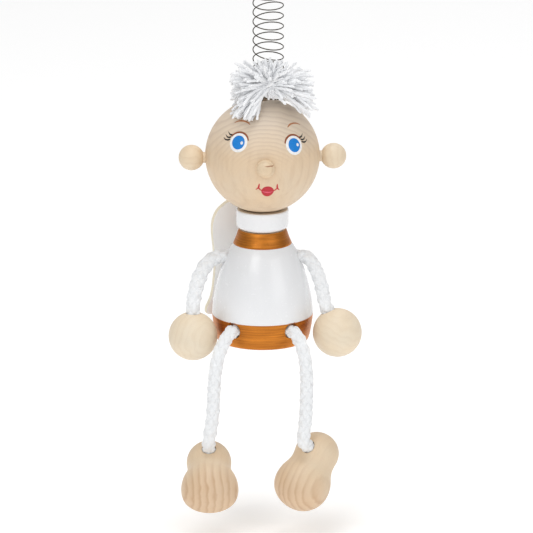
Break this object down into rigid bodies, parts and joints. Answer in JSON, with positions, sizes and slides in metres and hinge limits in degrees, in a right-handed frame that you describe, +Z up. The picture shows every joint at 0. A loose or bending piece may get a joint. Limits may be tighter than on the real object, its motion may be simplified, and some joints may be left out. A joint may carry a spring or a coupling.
{
  "type": "jumping figure toy",
  "caption": "Turned wooden angel toy with braided cord arms and legs and a yarn tuft, hanging on a coil spring so that it bounces.",
  "frame": {"origin": "hanging point, the inside top of the screw eye's loop", "axes": "+Z up along the spring and the figure, -Y the way the figure faces, +X the figure's left"},
  "size_m": [0.0841, 0.0744, 0.2883],
  "materials": {
    "bare_wood": "fine sanded bare wood",
    "white_paint": "glossy white paint on turned wood, with gold bands",
    "white_ply": "white paint on thin plywood, bare cream edges",
    "cotton_cord": "white braided cord",
    "yarn": "white fluffy yarn",
    "spring_steel": "dark bronze spring wire",
    "eye_steel": "zinc plated wire"
  },
  "bodies": {
    "hanger": {"screw_eye": "eye_steel", "handle_ball": "bare_wood"},
    "spring_top": {"spring_tail": "spring_steel"},
    "spring": {"spring": "spring_steel"},
    "figure": {"head": "bare_wood", "nose": "bare_wood", "ear_left": "bare_wood", "ear_right": "bare_wood", "hair": "yarn", "crown_peg": "bare_wood", "neck_dowel": "bare_wood", "collar": "white_paint", "torso": "white_paint", "wings": "white_ply", "wing_peg": "bare_wood"},
    "arm_left_upper": {"arm_left_cord_a": "cotton_cord"},
    "arm_left_lower": {"arm_left_cord_b": "cotton_cord"},
    "hand_left": {"arm_left_cord_end": "cotton_cord", "hand_left": "bare_wood"},
    "arm_right_upper": {"arm_right_cord_a": "cotton_cord"},
    "arm_right_lower": {"arm_right_cord_b": "cotton_cord"},
    "hand_right": {"arm_right_cord_end": "cotton_cord", "hand_right": "bare_wood"},
    "leg_left_hip": {"leg_left_cord_a": "cotton_cord"},
    "leg_left_thigh": {"leg_left_cord_b": "cotton_cord"},
    "leg_left_shin": {"leg_left_cord_c": "cotton_cord"},
    "leg_left_ankle": {"leg_left_cord_end": "cotton_cord"},
    "foot_left": {"foot_left": "bare_wood"},
    "leg_right_hip": {"leg_right_cord_a": "cotton_cord"},
    "leg_right_thigh": {"leg_right_cord_b": "cotton_cord"},
    "leg_right_shin": {"leg_right_cord_c": "cotton_cord"},
    "leg_right_ankle": {"leg_right_cord_end": "cotton_cord"},
    "foot_right": {"foot_right": "bare_wood"}
  },
  "joints": [
    {"name": "spring_swing", "type": "hinge", "parent": "hanger", "child": "spring_top", "pos_m": [0, 0, -0.0375], "axis": [1, 0, 0], "range_deg": [-20, 20], "stiffness_Nm_per_rad": 0.01, "springref_deg": -12.88},
    {"name": "spring_sway", "type": "hinge", "parent": "spring_top", "child": "spring", "pos_m": [0, 0, -0.0375], "axis": [0, 1, 0], "range_deg": [-20, 20], "stiffness_Nm_per_rad": 0.01, "springref_deg": 0.7},
    {"name": "spring_bounce", "type": "slide", "parent": "spring", "child": "figure", "axis": [0, 0, 1], "range_m": [-0.07, 0.045], "stiffness_N_per_m": 20, "springref_m": 0.0464, "deforming": ["spring"]},
    {"name": "arm_left_swing", "type": "hinge", "parent": "figure", "child": "arm_left_upper", "pos_m": [0.0163, 0, -0.1777], "axis": [-1, 0, 0], "range_deg": [0, 110], "stiffness_Nm_per_rad": 0.006, "springref_deg": 3.13},
    {"name": "arm_left_lift", "type": "hinge", "parent": "arm_left_upper", "child": "arm_left_lower", "pos_m": [0.0206, -0.0012, -0.1788], "axis": [0, -1, 0], "range_deg": [0, 100], "stiffness_Nm_per_rad": 0.006, "springref_deg": 3.14},
    {"name": "hand_left_tilt", "type": "hinge", "parent": "arm_left_lower", "child": "hand_left", "pos_m": [0.0273, -0.0101, -0.1965], "axis": [0, -1, 0], "range_deg": [-2, 45], "stiffness_Nm_per_rad": 0.004, "springref_deg": 2.06},
    {"name": "arm_right_swing", "type": "hinge", "parent": "figure", "child": "arm_right_upper", "pos_m": [-0.0163, 0, -0.1777], "axis": [-1, 0, 0], "range_deg": [0, 110], "stiffness_Nm_per_rad": 0.006, "springref_deg": 3.74},
    {"name": "arm_right_lift", "type": "hinge", "parent": "arm_right_upper", "child": "arm_right_lower", "pos_m": [-0.0209, -0.0008, -0.1782], "axis": [0, 1, 0], "range_deg": [0, 100], "stiffness_Nm_per_rad": 0.006, "springref_deg": 2.53},
    {"name": "hand_right_tilt", "type": "hinge", "parent": "arm_right_lower", "child": "hand_right", "pos_m": [-0.0303, -0.0134, -0.1962], "axis": [0, 1, 0], "range_deg": [-2, 45], "stiffness_Nm_per_rad": 0.004, "springref_deg": 0.03},
    {"name": "leg_left_swing", "type": "hinge", "parent": "figure", "child": "leg_left_hip", "pos_m": [0.0128, -0.0179, -0.207], "axis": [0.5821, -0.8131, 0], "range_deg": [0, 36], "stiffness_Nm_per_rad": 0.006, "springref_deg": -0.23},
    {"name": "leg_left_lift", "type": "hinge", "parent": "leg_left_hip", "child": "leg_left_thigh", "pos_m": [0.0164, -0.0222, -0.2104], "axis": [-0.8131, -0.5821, 0], "range_deg": [-20, 80], "stiffness_Nm_per_rad": 0.006, "springref_deg": 1.27},
    {"name": "knee_left_bend", "type": "hinge", "parent": "leg_left_thigh", "child": "leg_left_shin", "pos_m": [0.0192, -0.0258, -0.234], "axis": [1, 0, 0], "range_deg": [-60, 80], "stiffness_Nm_per_rad": 0.006},
    {"name": "foot_left_tilt", "type": "hinge", "parent": "leg_left_shin", "child": "leg_left_ankle", "pos_m": [0.018, -0.0272, -0.2547], "axis": [0.8087, -0.5816, -0.0884], "range_deg": [-75, 30], "stiffness_Nm_per_rad": 0.004, "springref_deg": 0.43},
    {"name": "foot_left_turn", "type": "hinge", "parent": "leg_left_ankle", "child": "foot_left", "pos_m": [0.0197, -0.0245, -0.2571], "axis": [-0.4208, -0.677, 0.6038], "range_deg": [0, 110], "stiffness_Nm_per_rad": 0.002, "springref_deg": -0.92},
    {"name": "leg_right_swing", "type": "hinge", "parent": "figure", "child": "leg_right_hip", "pos_m": [-0.0128, -0.0179, -0.207], "axis": [0.5821, 0.8131, 0], "range_deg": [0, 15], "stiffness_Nm_per_rad": 0.006, "springref_deg": 0.37},
    {"name": "leg_right_lift", "type": "hinge", "parent": "leg_right_hip", "child": "leg_right_thigh", "pos_m": [-0.0166, -0.0222, -0.2104], "axis": [-0.8131, 0.5821, 0], "range_deg": [-15, 80], "stiffness_Nm_per_rad": 0.006, "springref_deg": 3.65},
    {"name": "knee_right_bend", "type": "hinge", "parent": "leg_right_thigh", "child": "leg_right_shin", "pos_m": [-0.0213, -0.0252, -0.234], "axis": [1, 0, 0], "range_deg": [-60, 80], "stiffness_Nm_per_rad": 0.006, "springref_deg": -1.83},
    {"name": "foot_right_tilt", "type": "hinge", "parent": "leg_right_shin", "child": "leg_right_ankle", "pos_m": [-0.0235, -0.0266, -0.2547], "axis": [0.9995, 0.0256, 0.0158], "range_deg": [-55, 45], "stiffness_Nm_per_rad": 0.004, "springref_deg": -2.05},
    {"name": "foot_right_turn", "type": "hinge", "parent": "leg_right_ankle", "child": "foot_right", "pos_m": [-0.0235, -0.0245, -0.2581], "axis": [0, -0.5251, 0.851], "range_deg": [-80, 35], "stiffness_Nm_per_rad": 0.002, "springref_deg": 0.17}
  ]
}
